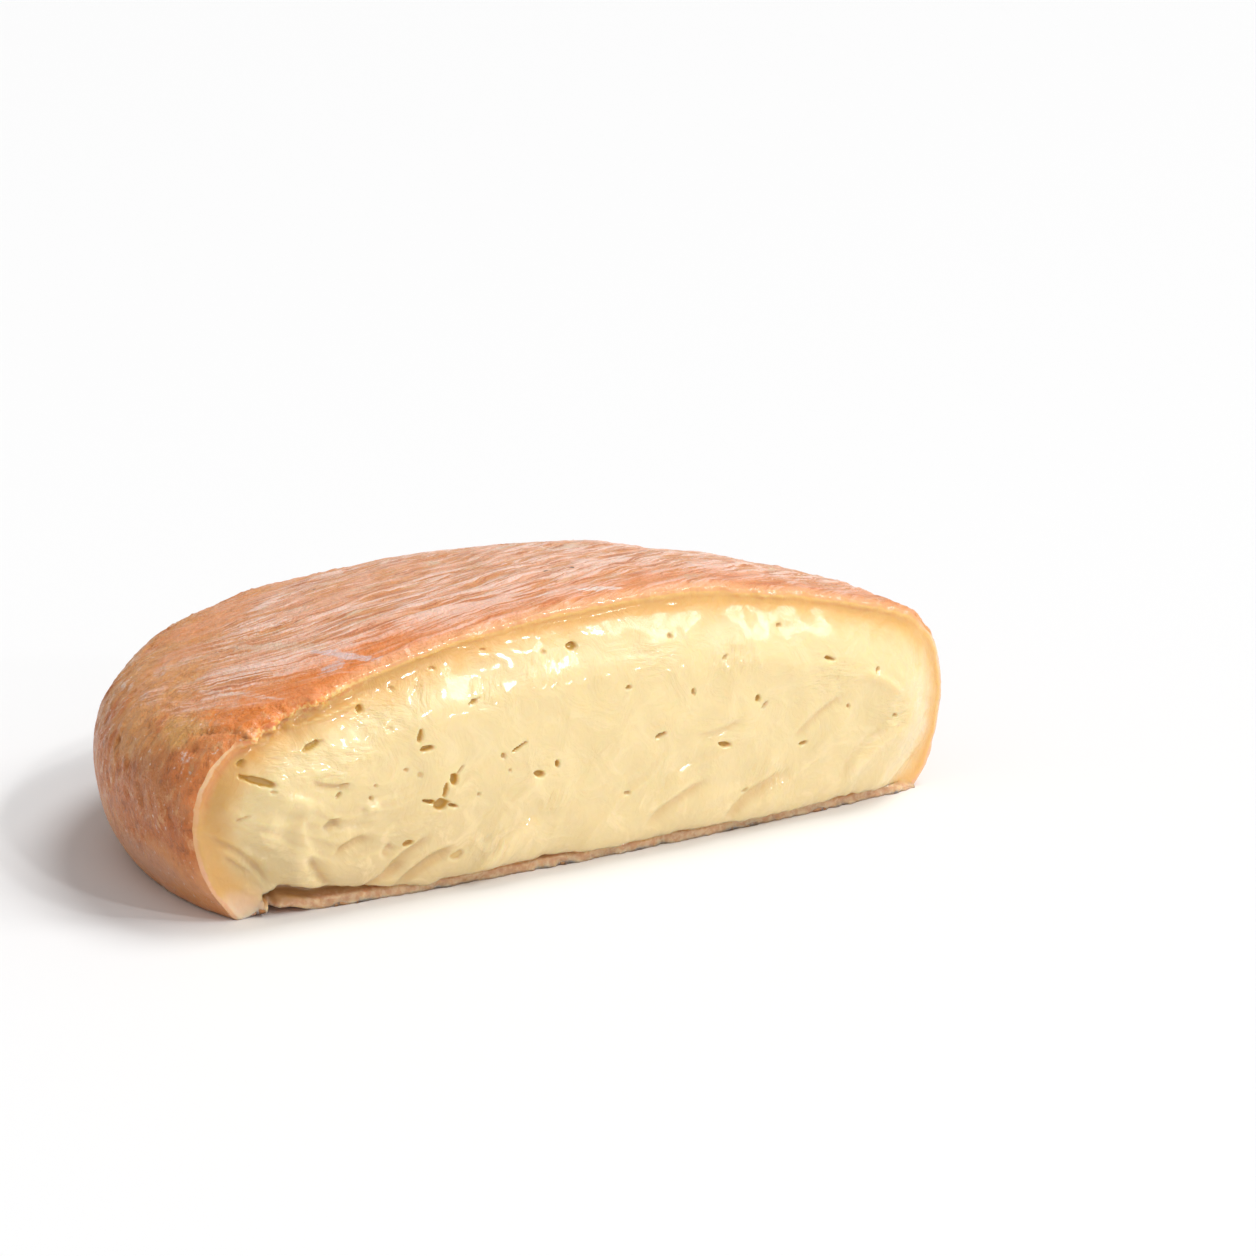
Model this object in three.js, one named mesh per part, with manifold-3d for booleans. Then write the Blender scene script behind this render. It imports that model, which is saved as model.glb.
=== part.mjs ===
// The larger part of a soft washed-rind cheese wheel, cut once straight across, lying on its flat underside.
// Millimetres, +Z up. The cut faces -Y and runs along X. The origin is on the resting plane, under the
// middle of the object's bounding box.
import * as THREE from "three";
import { mergeVertices } from "three/addons/utils/BufferGeometryUtils.js";
import Module from "manifold-3d";

// Driving dimensions of the whole wheel, before the cut.
const WHEEL_RADIUS = 95;
const BASE_RADIUS = 84; // the flat that the wheel rests on
const CROWN_HEIGHT = 55; // at the middle of the domed top
const CUT_OFFSET = 17; // from the wheel's axis to the cut, so more than half is left
const TOP_LEAN = 0.018; // the top rises this much per millimetre towards +X

// The cut face: soft paste that has swelled out between the firmer rinds.
const CUT_BOW = 3.5; // how far the middle of the cut stands forward of its two ends
const CUT_BOW_REACH = 80;
const PASTE_BULGE = 5;
const BULGE_START = 2; // depth under the rind where the paste starts to swell
const BULGE_FULL = 16; // depth where it has its full swell
const RIND_THICKNESS = 2;
const LIP_RECESS = 1.2; // the paste shrinks back this much just under the rind
const LEDGE_HEIGHT = 3.5; // the bottom rind, which the paste has slid over
const LEDGE_FORWARD = 1.5;
const LEDGE_STEP = 4; // height over which the paste swells out above the ledge

// The larger eyes in the paste: [along X, height, length, thickness, turn in degrees].
const EYES = [
  [-80, 30, 7.6, 2, -25],
  [-68, 35.5, 4.8, 1.5, 12],
  [-45.5, 34.6, 1.8, 3.6, 0],
  [-44, 31.8, 3.6, 1.6, 5],
  [-38.2, 24.2, 2.4, 3.2, 10],
  [-41.8, 19.4, 6.4, 2.4, -8],
  [-49, 12.3, 2.4, 1.8, 0],
  [-37.6, 9, 3, 1.9, 0],
  [-23, 28.4, 4.2, 1.2, 20],
  [-18.6, 22.2, 2.6, 1.9, 0],
  [-6.6, 45, 3, 1.8, 0],
  [12, 30, 5, 2, -15],
  [26, 17, 3.6, 2.6, 5],
  [31, 37, 4.5, 1.5, 10],
  [47, 24, 2.6, 2.2, 30],
  [56, 32, 6, 1.8, 8],
  [63, 14, 3.2, 1.8, -12],
  [73, 25, 4, 1.5, -20],
];
const EYE_DEPTH = 2.2;

const TURN_SEGMENTS = 108;
const SIDE_DIVISIONS = 22;
const CUT_COLUMNS = 58;
const CUT_ROWS = 24;
const ROW_CROWDING = 1.5; // above 1, the rows of the cut lie closer together near the base

const RIND_COLOUR = 0xd9945f;

const wasm = await Module();
wasm.setup();

// The side and top in section, as [radius, height], from the edge of the base up to the crown.
function sideCurve() {
  const points = [
    [BASE_RADIUS, 0],
    [WHEEL_RADIUS - 5.5, 3.2],
    [WHEEL_RADIUS - 1.4, 10],
    [WHEEL_RADIUS, 20],
    [WHEEL_RADIUS - 1.4, 28.5],
    [WHEEL_RADIUS - 5.5, 35],
    [WHEEL_RADIUS - 12, 39.5],
    [WHEEL_RADIUS - 25, 44],
    [WHEEL_RADIUS - 50, CROWN_HEIGHT - 4.6],
    [WHEEL_RADIUS - 74, CROWN_HEIGHT - 1],
    [0, CROWN_HEIGHT],
  ].map(([radius, height]) => new THREE.Vector2(radius, height));
  return new THREE.SplineCurve(points);
}

// A closed three.js geometry as a manifold-3d solid.
function toSolid(geometry) {
  const bare = geometry.clone();
  bare.deleteAttribute("normal");
  bare.deleteAttribute("uv");
  const merged = mergeVertices(bare, 1e-4);
  return new wasm.Manifold(
    new wasm.Mesh({
      numProp: 3,
      vertProperties: new Float32Array(merged.attributes.position.array),
      triVerts: new Uint32Array(merged.index.array),
    }),
  );
}

function toGeometry(solid) {
  const mesh = solid.getMesh();
  return new THREE.BufferGeometry()
    .setAttribute("position", new THREE.BufferAttribute(mesh.vertProperties, 3))
    .setIndex(new THREE.BufferAttribute(mesh.triVerts, 1));
}

// The whole wheel about the Z axis, with its top leaning up a little towards +X.
function wholeWheel(side) {
  const outline = [new THREE.Vector2(0, 0), ...side];
  const wheel = new THREE.LatheGeometry(outline, TURN_SEGMENTS);
  wheel.rotateX(Math.PI / 2);
  const position = wheel.attributes.position;
  for (let i = 0; i < position.count; i += 1) {
    const z = position.getZ(i);
    const leaning = THREE.MathUtils.clamp((z - 20) / 20, 0, 1);
    position.setZ(i, z + TOP_LEAN * position.getX(i) * leaning);
  }
  return toSolid(wheel);
}

// How deep a point of the cut lies under the top and side rind, from their outline.
function depthUnderRind(x, z, outline) {
  let least = Infinity;
  for (let i = 1; i < outline.length; i += 1) {
    const a = outline[i - 1];
    const b = outline[i];
    const along = b.clone().sub(a);
    const point = new THREE.Vector2(Math.abs(x), z);
    const share = point.clone().sub(a).dot(along) / Math.max(along.lengthSq(), 1e-9);
    const nearest = a.clone().addScaledVector(along, THREE.MathUtils.clamp(share, 0, 1));
    least = Math.min(least, nearest.distanceTo(point));
  }
  return least;
}

// How far the cut surface stands forward of the plane of the cut.
function cutForward(x, z, outline) {
  const { smoothstep } = THREE.MathUtils;
  const bow = CUT_BOW * Math.max(0, 1 - (x / CUT_BOW_REACH) ** 2);
  const depth = depthUnderRind(x, z, outline);
  const aboveLedge = smoothstep(z, LEDGE_HEIGHT, LEDGE_HEIGHT + LEDGE_STEP);
  const swell = PASTE_BULGE * smoothstep(depth, BULGE_START, BULGE_FULL) * aboveLedge;
  const recess =
    LIP_RECESS *
    smoothstep(depth, RIND_THICKNESS * 0.5, RIND_THICKNESS) *
    (1 - smoothstep(depth, RIND_THICKNESS * 2, RIND_THICKNESS * 4)) *
    aboveLedge;
  const ledge =
    LEDGE_FORWARD *
    smoothstep(depth, 0, BULGE_FULL) *
    (1 - smoothstep(z, LEDGE_HEIGHT - 1, LEDGE_HEIGHT));
  return bow + swell - recess + ledge;
}

// Half the outline of the cut, from the edge of the base up to the crown.
function cutOutline(side) {
  const outline = side
    .filter((p) => p.x > CUT_OFFSET)
    .map((p) => new THREE.Vector2(Math.sqrt(p.x ** 2 - CUT_OFFSET ** 2), p.y));
  outline.push(new THREE.Vector2(0, CROWN_HEIGHT));
  return outline;
}

// A block in front of the cut whose inner face is the cut surface.
function knifeBlock(outline) {
  const margin = 10;
  const width = 2 * (WHEEL_RADIUS + margin);
  const thickness = 2 * WHEEL_RADIUS;
  const height = CROWN_HEIGHT + 2 * margin;
  const block = new THREE.BoxGeometry(width, thickness, height, CUT_COLUMNS, 1, CUT_ROWS);
  block.translate(0, -CUT_OFFSET - thickness / 2, height / 2);
  const position = block.attributes.position;
  for (let i = 0; i < position.count; i += 1) {
    const share = THREE.MathUtils.clamp(position.getZ(i) / height, 0, 1);
    const z = height * share ** ROW_CROWDING - margin * (1 - share);
    position.setZ(i, z);
    if (position.getY(i) < -CUT_OFFSET - 1) continue;
    const onCut = THREE.MathUtils.clamp(z, 0, CROWN_HEIGHT);
    position.setY(i, -CUT_OFFSET - cutForward(position.getX(i), onCut, outline));
  }
  return toSolid(block);
}

// A small flattened cavity with its middle on the cut surface.
function eye([x, z, length, thickness, turn], outline) {
  const cavity = new THREE.SphereGeometry(1, 10, 8);
  cavity.scale(length / 2, EYE_DEPTH, thickness / 2);
  cavity.rotateY(-THREE.MathUtils.degToRad(turn));
  cavity.translate(x, -CUT_OFFSET - cutForward(x, z, outline), z);
  return toSolid(cavity);
}

// Moves a geometry so that the middle of its box is over the origin and its underside on the plane.
function standAtOrigin(geometry) {
  geometry.computeBoundingBox();
  const { min, max } = geometry.boundingBox;
  geometry.translate(-(min.x + max.x) / 2, -(min.y + max.y) / 2, -min.z);
  return geometry;
}

function cheeseWheel() {
  const side = sideCurve().getPoints(SIDE_DIVISIONS);
  const outline = cutOutline(side);
  let left = wholeWheel(side).subtract(knifeBlock(outline));
  for (const place of EYES) left = left.subtract(eye(place, outline));
  const rind = new THREE.MeshStandardMaterial({
    name: "washed rind",
    color: RIND_COLOUR,
    roughness: 0.55,
    metalness: 0,
  });
  const mesh = new THREE.Mesh(standAtOrigin(toGeometry(left)), rind);
  mesh.name = "cheese_wheel";
  return mesh;
}

const part = new THREE.Group();
part.add(cheeseWheel());

export default part;
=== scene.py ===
"""The larger part of a soft washed-rind cheese wheel, lying on its flat side with the cut to the viewer.

The rind is a turned shape that has slumped and wrinkled. The cut is a fine grid whose paste has swelled
out between the rinds. Shapes are worked out in millimetres about the whole wheel's axis, with the cut
facing -Y, and put into the frame, in metres, at the end.
"""

import math
import random

import bmesh
import bpy
import numpy as np
from mathutils import Matrix, Vector, noise


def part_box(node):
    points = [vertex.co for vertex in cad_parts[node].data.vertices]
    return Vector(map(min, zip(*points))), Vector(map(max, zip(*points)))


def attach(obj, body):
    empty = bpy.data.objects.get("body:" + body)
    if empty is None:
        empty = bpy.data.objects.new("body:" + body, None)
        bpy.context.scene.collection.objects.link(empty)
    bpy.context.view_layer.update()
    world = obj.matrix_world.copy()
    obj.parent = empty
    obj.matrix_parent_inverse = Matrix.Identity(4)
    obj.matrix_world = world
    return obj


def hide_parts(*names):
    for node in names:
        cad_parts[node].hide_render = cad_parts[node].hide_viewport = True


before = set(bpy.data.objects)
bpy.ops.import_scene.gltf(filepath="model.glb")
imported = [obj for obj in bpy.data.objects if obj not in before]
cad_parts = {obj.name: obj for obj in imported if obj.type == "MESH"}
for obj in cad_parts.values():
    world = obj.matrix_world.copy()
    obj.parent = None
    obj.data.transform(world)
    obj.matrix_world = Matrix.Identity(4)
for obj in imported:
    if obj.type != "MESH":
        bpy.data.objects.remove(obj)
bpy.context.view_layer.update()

MM = 0.001
LOW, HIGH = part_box("cheese_wheel")
RADIUS = (HIGH.x - LOW.x) / 2 / MM
HEIGHT = HIGH.z / MM
AXIS_Y = HIGH.y / MM - RADIUS  # where the whole wheel's axis is in the frame
CUT_Y = -17  # the plane of the cut, from the wheel's axis

# Half of the wheel's section from the edge of the base to the crown: inset from the radius, height.
# The first and last points only steer the curve.
SECTION_CORNERS = [
    (10, 0),
    (8, 0),
    (5.2, 3.4),
    (1.8, 10),
    (0, 20),
    (1.2, 28.5),
    (5.2, 35),
    (11.6, 39.8),
    (25, 44.6),
    (50, HEIGHT - 3.8),
    (74, HEIGHT - 0.8),
    (RADIUS, HEIGHT),
    (RADIUS + 21, HEIGHT - 0.8),
]
SECTION_STEPS = 10
TURN_STEPS = 180
TOP_LEAN = 0.018  # the top rises this much per millimetre towards +X
LEAN_START = 20  # from this height
LEAN_FULL = 40

STREAK_MIDDLE = (35, 150)  # the top's wrinkles bend round a middle this far to the left and behind
STREAK_CURL = 0.05  # and curl in more towards the left end
WRINKLE_SPACING = 3.2
WRINKLE_LENGTH = 26
WRINKLE_HEIGHT = 0.75
PUCKER_SPACING = 3.6  # the side's upright puckers
PUCKER_LENGTH = 8
PUCKER_LEAN = 0.35
PUCKER_HEIGHT = 0.3
CRUMB_SIZE = 2.6
CRUMB_HEIGHT = 0.3
SWIRL_MIDDLE = (-58, 34)  # the paste's folds hang round this place on the cut

# Marks of the ripening rack on the underside.
RACK_SPACING = 21
RACK_TURNS = (62, 118)
WIRE_DEPTH = 0.7
MAT_SPACING = 2.7
MAT_DEPTH = 0.16
RACKED_RADIUS = 84

# Fineness of the mesh.
RIND_GRAIN = 1.08
PASTE_GRAIN = 0.5
FINE_STRIP = 4  # the rind is refined this far behind the cut

# The cut.
RIND_THICKNESS = 1.7
END_TUCK = 1.2  # the low ends of the cut are drawn in by this much
CUT_BOW = 3.5  # the bottom of the cut stands forward of its ends by this much
CUT_BOW_REACH = 80
PASTE_BULGE = 6
LIP_RECESS = 1.3
RIM_ROUND = 2.8  # the rim is rounded off this far each way
RIM_REACH = 14  # the rind follows the cut's shape this far back
LEDGE_LIP = 2.6  # the bottom rind's lip stands this tall below the paste
LEDGE_FORWARD = 1.5
LEDGE_CHANNEL = 1.6  # between the lip and the paste it falls back this far
NOTCH_X = -77.5  # where the bottom rind is nicked
NOTCH_LIFT = 1.6
NOTCH_DEPTH = 3
DROOP = 1.5  # the paste hangs this far over the channel
RIPPLE_HEIGHT = 0.34
# Height of the paste's lower edge above the table, along the cut.
PASTE_EDGE = [
    (-95, -1),
    (-80, -1),
    (-79, 5),
    (-75.5, 7),
    (-67, 5.9),
    (-55, 4),
    (-43, 2.3),
    (-34, 3.2),
    (-17, 3.8),
    (-1, 2.9),
    (20, 3.4),
    (45, 2.6),
    (65, 3.4),
    (76, 2.6),
    (84, 1.2),
    (88, -1),
    (95, -1),
]

EYE_DEPTH = 0.7
# Eyes in the paste: along X, height, length, thickness, turn in degrees, depth.
EYES = [
    (-80.2, 29.9, 7.2, 1.7, -20, 1.8),
    (-82.8, 33.8, 2.2, 1.3, 40, 1.2),
    (-68.1, 35.5, 4.8, 1.3, 22, 1.6),
    (-56.3, 41.0, 1.9, 1.6, 10, 1.6),
    (-51.6, 36.8, 1.5, 1.1, 0, 0.5),
    (-48.7, 44.0, 1.3, 1.2, 0, 0.7),
    (-39.1, 46.7, 1.6, 1.0, 0, 0.7),
    (-32.3, 39.4, 3.4, 0.8, 18, 1.3),
    (-26.8, 48.6, 1.3, 0.7, 0, 0.6),
    (-13.6, 46.0, 1.6, 0.9, 0, 0.7),
    (-6.6, 46.0, 2.7, 1.5, 5, 1.8),
    (-45.5, 34.6, 1.3, 3.0, -20, 1.6),
    (-44.2, 31.8, 3.1, 1.2, 5, 1.8),
    (-22.9, 28.4, 4.2, 0.7, 24, 1.6),
    (-26.5, 27.3, 1.3, 1.3, 0, 1.0),
    (-48.9, 27.8, 1.3, 0.9, 0, 0.8),
    (-45.9, 26.3, 1.2, 1.3, 0, 0.6),
    (-38.2, 24.2, 2.2, 2.6, 15, 2.3),
    (-36.6, 25.8, 2.8, 0.6, 45, 1.0),
    (-41.4, 19.3, 3.6, 2.2, 10, 2.3),
    (-43.9, 20.2, 3.2, 1.0, -18, 1.8),
    (-40.2, 22.2, 1.1, 3.6, -15, 1.6),
    (-38.7, 18.6, 2.6, 0.9, -15, 1.6),
    (-18.6, 22.2, 2.4, 1.5, -5, 1.6),
    (-14.0, 23.6, 1.4, 1.8, 0, 1.8),
    (-25.1, 23.9, 0.9, 0.9, 0, 0.7),
    (-48.9, 12.3, 2.3, 1.3, 10, 1.5),
    (-37.6, 8.2, 3.2, 1.6, 10, 0.9),
    (-32.5, 20.0, 0.9, 0.9, 0, 0.7),
    (-62.6, 27.1, 2.4, 0.7, 5, 0.9),
    (-56.1, 25.7, 1.2, 0.8, 0, 0.8),
    (-64.2, 24.9, 1.9, 0.9, 35, 1.1),
    (-57.1, 23.1, 1.0, 1.0, 0, 0.9),
    (-65.2, 19.7, 3.0, 0.7, 12, 0.8),
    (-83.9, 22.3, 3.6, 0.7, 25, 0.7),
    (-78.0, 27.6, 1.6, 0.8, 0, 0.7),
    (4.5, 36.5, 1.5, 1.0, 10, 1.2),
    (11.5, 25.5, 2.8, 0.9, 18, 1.4),
    (17.0, 44.5, 1.4, 1.1, 0, 0.9),
    (20.5, 33.0, 1.1, 1.4, 0, 1.2),
    (27.5, 21.0, 3.4, 1.1, -12, 1.6),
    (29.5, 38.5, 2.1, 0.8, 24, 1.0),
    (37.0, 29.0, 1.6, 1.5, 0, 1.6),
    (38.6, 27.2, 2.6, 0.7, 40, 1.1),
    (45.5, 42.0, 1.6, 1.0, 15, 1.0),
    (49.0, 17.5, 2.2, 1.0, 8, 1.3),
    (56.5, 34.0, 3.0, 0.9, -16, 1.4),
    (61.0, 23.5, 1.2, 1.2, 0, 1.0),
    (69.5, 29.5, 2.2, 0.8, 30, 1.2),
    (3.0, 14.5, 1.6, 0.9, 5, 0.9),
    (33.5, 9.8, 2.0, 0.9, 12, 0.8),
    (74.0, 19.5, 1.4, 0.9, 0, 0.9),
]

CRACK_WIDTH = 0.7
CRACK_DEPTH = 0.7
SCATTERED_CRACKS = 45
SCATTERED_HEIGHTS = (17, 40)
SCATTERED_LENGTHS = (1.5, 5)
SCATTERED_LEAN = 0.9
# Cracks in the rind near the cut: start and end.
CRACKS = [
    ((-87, -5, 38), (-82, -14, 39.5)),
    ((-94, -5.5, 25), (-94, -11.5, 18.5)),
    ((-94, -1, 15), (-92.5, -9, 14.4)),
    ((-95, 4, 26), (-94.5, 2, 20)),
]

# Creases (negative) and soft ridges in the skin of the paste: start, end, sag, width, height.
FOLDS = [
    ((-89, 18), (-78, 9), 0.9, 0.45, -1.2),
    ((-86, 13.6), (-80.7, 9.4), 0, 0.4, -0.8),
    ((-74.3, 14), (-66.5, 6), -0.3, 1.2, 1.0),
    ((-71, 13.2), (-64.8, 6.9), -0.5, 0.7, -1.1),
    ((-65.4, 12.3), (-57.2, 15), 1, 0.6, -1.1),
    ((-55, 10.8), (-52.4, 12.7), 0, 0.6, -0.9),
    ((-57.5, 5.4), (-49.5, 8.6), 0.2, 0.5, -1.1),
    ((-53.5, 7.4), (-44.5, 13), 0.3, 0.5, -1.0),
    ((-50, 5.2), (-39, 9.8), 0.3, 0.6, -1.5),
    ((-33, 4.3), (-20, 12.5), 0.5, 1.5, 1.1),
    ((-77, 25.9), (-70, 23), 0.8, 0.9, 0.9),
    ((-72.6, 21), (-69.6, 12.4), -0.8, 1.0, 0.9),
    ((-70.2, 29), (-61.6, 26.5), -0.4, 0.5, -0.9),
    ((-67.8, 18.3), (-64.3, 19.1), 0.2, 0.5, -1.1),
    ((-58.8, 21.1), (-55.5, 21.7), 0, 0.5, 1.0),
    ((-70.5, 39.5), (-54, 43.6), -0.2, 0.3, 0.8),
    ((-30, 12), (-18, 21), 0.8, 0.8, 0.5),
    ((8, 7), (23, 14), 0.8, 0.7, -0.9),
    ((28, 5), (44, 12), 1, 0.8, -1.0),
    ((20, 24), (33, 26), -0.8, 0.6, -0.6),
    ((46, 19), (60, 26), 0.8, 0.6, -0.7),
    ((60, 8), (74, 17), 1, 1.3, 1.1),
    ((66, 30), (76, 24), 0.6, 0.7, 0.8),
]

# Where the moist skin of the paste is finely rippled: along X, height, half length, half height.
LEVEL_RIPPLES = [
    (-54, 40, 9, 4),
    (-73, 33.5, 8, 5),
    (-66, 29, 6, 3),
    (-80, 18, 4, 4),
    (-72, 9, 8, 4),
    (-60, 33, 7, 3),
    (12, 42, 9, 4),
    (58, 30, 10, 5),
    (74, 20, 6, 6),
]
STEEP_RIPPLES = [
    (-44, 43, 4, 5),
    (-14, 43, 8, 4),
    (-28, 41, 5, 3),
    (-14, 16, 6, 3),
    (-30, 9, 8, 5),
    (33, 38, 8, 5),
    (40, 12, 9, 5),
]


# ---------------------------------------------------------------------------------------------------
# Shape helpers


def smooth(value, start, end):
    """0 before start, 1 after end, and smooth between them."""
    share = np.clip((value - start) / (end - start), 0, 1)
    return share * share * (3 - 2 * share)


def curve_through(points, steps):
    """A smooth curve from the second point to the last but one; the end points only steer it."""
    points = np.array(points, float)
    share = np.linspace(0, 1, steps, endpoint=False)[:, None]
    stretches = []
    for before, start, end, after in zip(points, points[1:], points[2:], points[3:]):
        leave = (end - before) / 2
        arrive = (after - start) / 2
        square = 3 * (end - start) - 2 * leave - arrive
        cube = 2 * (start - end) + leave + arrive
        stretches.append(start + share * leave + share**2 * square + share**3 * cube)
    return np.vstack([*stretches, points[-2:-1]])


def grain(points, size, seed, octaves=3):
    """Soft noise of about -1 to 1 at each point, with features of about the given size."""
    shift = Vector((seed * 7.31, seed * 3.17, seed * 5.53))
    scaled = points / size
    return np.array([noise.fractal(Vector(p) + shift, 1.0, 2.0, octaves) for p in scaled])


def ridges(points, size, seed, octaves=3):
    """Sharp-crested noise from 0, between ridges, to 1 on them."""
    return 1 - np.clip(np.abs(grain(points, size, seed, octaves)) * 2.2, 0, 1)


def drawn_out(across, along, spacing, length):
    """Places for noise that is drawn out one way."""
    return np.column_stack([across / spacing, along / length, 0 * across])


SIDE = curve_through([(RADIUS - inset, height) for inset, height in SECTION_CORNERS], SECTION_STEPS)
SECTION = np.vstack([[(0, 0)], SIDE])


def nearest_on(section, points):
    """For each point, the nearest radius and height on the section, and the outward normal there."""
    start = section[:-1]
    run = np.diff(section, axis=0)
    length = np.maximum((run**2).sum(1), 1e-9)
    feet = []
    normals = []
    for batch in np.array_split(points, max(1, len(points) // 10000)):
        flat = np.column_stack([np.hypot(batch[:, 0], batch[:, 1]), batch[:, 2]])
        offset = flat[:, None] - start
        share = np.clip((offset * run).sum(2) / length, 0, 1)
        foot = start + share[:, :, None] * run
        best = ((flat[:, None] - foot) ** 2).sum(2).argmin(1)
        feet.append(foot[np.arange(len(batch)), best])
        normals.append(np.column_stack([run[best, 1], -run[best, 0]]))
    feet = np.vstack(feet)
    normals = np.vstack(normals)
    return feet, normals / np.linalg.norm(normals, axis=1)[:, None]


def turned(flat, points):
    """Radius and height pairs as 3-D vectors, each in its own point's direction from the axis."""
    radius = np.maximum(np.hypot(points[:, 0], points[:, 1]), 1e-6)
    return np.column_stack([points[:, :2] / radius[:, None] * flat[:, :1], flat[:, 1]])


def mesh_points(mesh):
    points = np.empty(len(mesh.vertices) * 3)
    mesh.vertices.foreach_get("co", points)
    return points.reshape(-1, 3)


# ---------------------------------------------------------------------------------------------------
# The blank: a whole wheel of even, fine faces, cut once


def whole_wheel():
    bm = bmesh.new()
    corners = [bm.verts.new((radius, 0, height)) for radius, height in SECTION]
    edges = [bm.edges.new(pair) for pair in zip(corners, corners[1:])]
    bmesh.ops.spin(
        bm,
        geom=corners + edges,
        cent=(0, 0, 0),
        axis=(0, 0, 1),
        angle=math.tau,
        steps=TURN_STEPS,
        use_merge=True,
    )
    bmesh.ops.remove_doubles(bm, verts=bm.verts, dist=1e-4)
    bmesh.ops.recalc_face_normals(bm, faces=bm.faces)
    return bm


def even_faces(bm):
    """Remeshes the wheel into even squares and puts them back on its true surface."""
    mesh = bpy.data.meshes.new("blank")
    bm.to_mesh(mesh)
    bm.free()
    blank = bpy.data.objects.new("blank", mesh)
    bpy.context.scene.collection.objects.link(blank)
    remesh = blank.modifiers.new("even_faces", "REMESH")
    remesh.mode = "VOXEL"
    remesh.voxel_size = RIND_GRAIN
    graph = bpy.context.evaluated_depsgraph_get()
    even = bpy.data.meshes.new_from_object(blank.evaluated_get(graph))
    bpy.data.objects.remove(blank)
    points = mesh_points(even)
    feet, _ = nearest_on(SECTION, points)
    even.vertices.foreach_set("co", turned(feet, points).ravel())
    result = bmesh.new()
    result.from_mesh(even)
    bpy.data.meshes.remove(even)
    return result


def on_cut(vert):
    return abs(vert.co.y - CUT_Y) < 1e-3


def grid_of(bm, face):
    """Cuts the flat face of the cut into a grid, first along X and then, strip by strip, along Z."""
    waiting = [face]
    low = [min(v.co[axis] for v in face.verts) for axis in range(3)]
    high = [max(v.co[axis] for v in face.verts) for axis in range(3)]
    for axis, normal in ((0, (1, 0, 0)), (2, (0, 0, 1))):
        strips = list(waiting) if axis == 0 else [f for f in bm.faces if all(map(on_cut, f.verts))]
        for place in np.arange(low[axis] + PASTE_GRAIN, high[axis], PASTE_GRAIN):
            edges = {e for f in strips for e in f.edges}
            verts = {v for f in strips for v in f.verts}
            cut = bmesh.ops.bisect_plane(
                bm,
                geom=[*strips, *edges, *verts],
                dist=1e-4,
                plane_co=tuple(place if i == axis else CUT_Y for i in range(3)),
                plane_no=normal,
            )
            faces = [f for f in cut["geom"] if isinstance(f, bmesh.types.BMFace)]
            strips = [f for f in faces if f.calc_center_median()[axis] > place]


def cut_wheel(bm):
    """Takes away the front of the wheel and gives the cut its fine faces."""
    parts = bmesh.ops.bisect_plane(
        bm,
        geom=[*bm.verts, *bm.edges, *bm.faces],
        plane_co=(0, CUT_Y, 0),
        plane_no=(0, -1, 0),
        clear_outer=True,
    )
    rim = [e for e in parts["geom_cut"] if isinstance(e, bmesh.types.BMEdge)]
    face = bmesh.ops.edgeloop_fill(bm, edges=rim)["faces"][0]
    grid_of(bm, face)
    bmesh.ops.triangulate(bm, faces=[f for f in bm.faces if len(f.verts) > 4])
    strip = [
        e
        for e in bm.edges
        if all(v.co.y < CUT_Y + FINE_STRIP for v in e.verts) and not all(map(on_cut, e.verts))
    ]
    bmesh.ops.subdivide_edges(bm, edges=strip, cuts=1, use_grid_fill=True)


def eye_reach(eye, x, z):
    """1 at the outline of an eye, less inside it and more outside."""
    place, height, length, thickness, turn, _ = eye
    angle = math.radians(turn)
    along = (x - place) * math.cos(angle) + (z - height) * math.sin(angle)
    across = (z - height) * math.cos(angle) - (x - place) * math.sin(angle)
    return np.hypot(along / (length / 2), across / (thickness / 2))


def refine_eyes(bm):
    """Halves the faces in and around each eye."""
    bm.verts.index_update()
    places = np.array([v.co for v in bm.verts])
    flat = np.abs(places[:, 1] - CUT_Y) < 1e-3
    groups = []
    for place, height, length, thickness, turn, _ in EYES:
        wider = (place, height, length + 1.6, thickness + 1.6, turn, 0)
        groups.append(flat & (eye_reach(wider, places[:, 0], places[:, 2]) < 1))
    edges = [[v.index for v in e.verts] for e in bm.edges]
    ends = np.array(edges)
    inside = np.zeros(len(ends), bool)
    for group in groups:
        inside |= group[ends].all(1)
    chosen = [e for e, keep in zip(bm.edges, inside) if keep]
    bmesh.ops.subdivide_edges(bm, edges=chosen, cuts=1, use_grid_fill=True)


# ---------------------------------------------------------------------------------------------------
# Relief of the rind and of the cut


def streak_place(points):
    """The top's wrinkles run in wide arcs: how far across them and along them each point lies."""
    aside = points[:, 0] + STREAK_MIDDLE[0]
    behind = STREAK_MIDDLE[1] - points[:, 1]
    curl = STREAK_CURL * np.maximum(-aside, 0) ** 3
    return np.sqrt(behind**2 + aside**2 + curl), np.arctan2(aside, behind) * STREAK_MIDDLE[1]


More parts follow.
